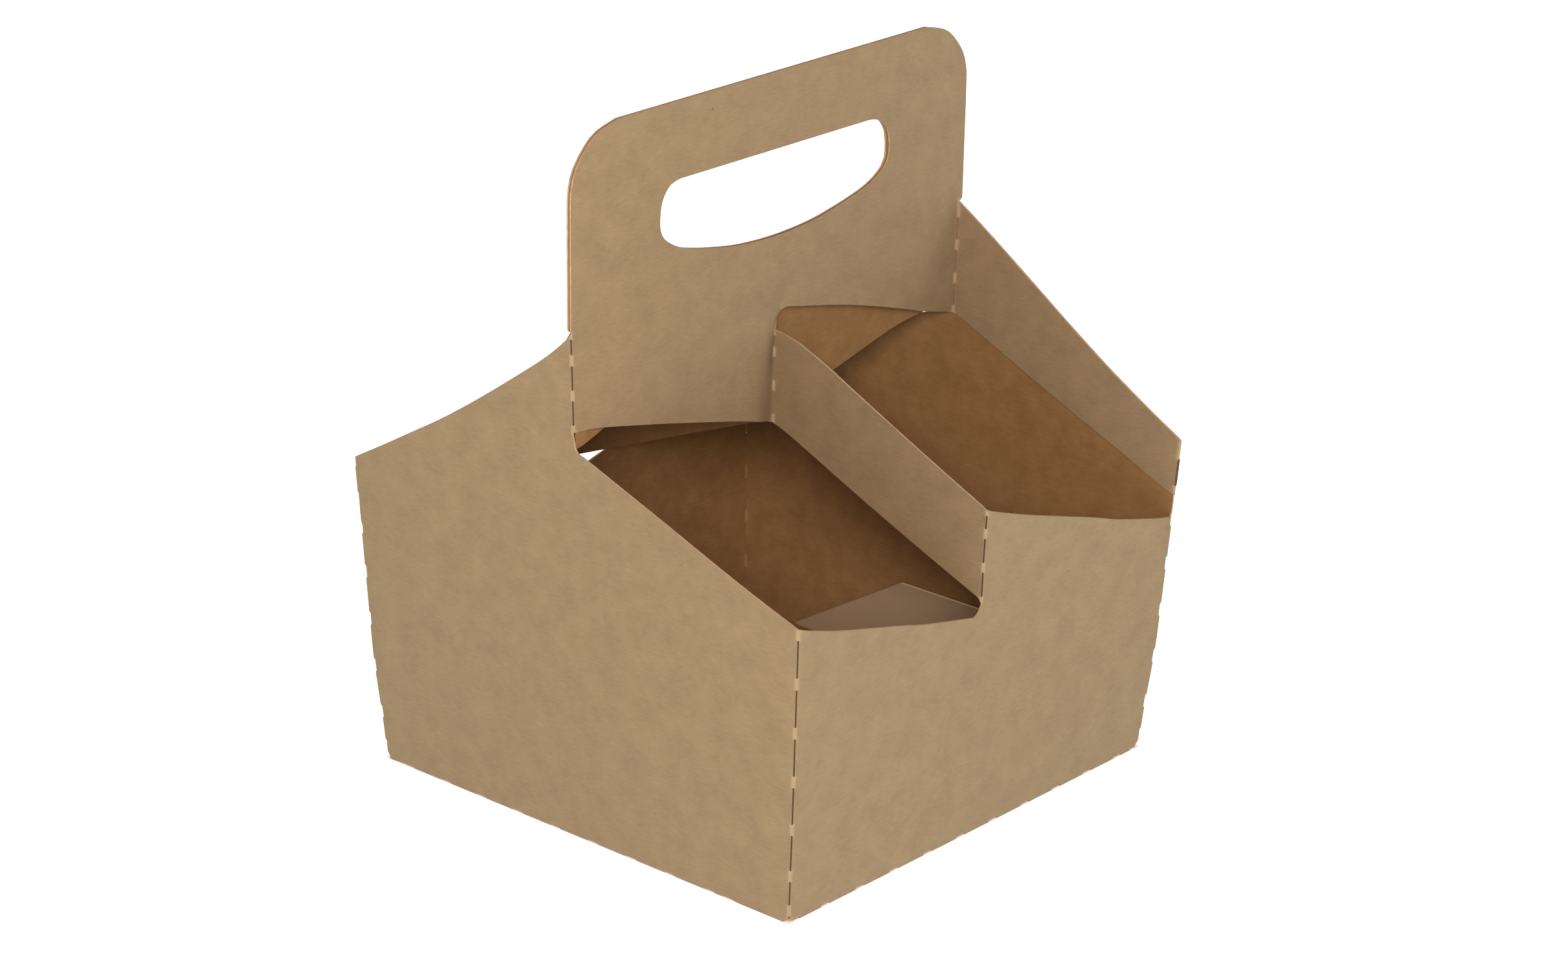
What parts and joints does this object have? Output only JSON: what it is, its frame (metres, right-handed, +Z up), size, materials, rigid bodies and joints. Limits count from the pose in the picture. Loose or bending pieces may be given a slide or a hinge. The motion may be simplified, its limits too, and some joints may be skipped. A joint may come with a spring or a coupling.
{
  "type": "cup carrier",
  "caption": "Folded kraft board carrier with a square base, open cup cells parted by straps, low curved walls and an upright handle with a hand hole.",
  "frame": {"origin": "centre of the base, on the surface it stands on", "axes": "+Z up, X along the handle, Y across it, the straps lying along Y; the form repeats after a half turn about Z"},
  "size_m": [0.179, 0.1724, 0.2163],
  "materials": {
    "kraft_board": "uncoated natural kraft paperboard, paler and smoother outside, darker brown and fibrous inside"
  },
  "bodies": {
    "root": {"cup_carrier": "kraft_board"}
  },
  "joints": []
}
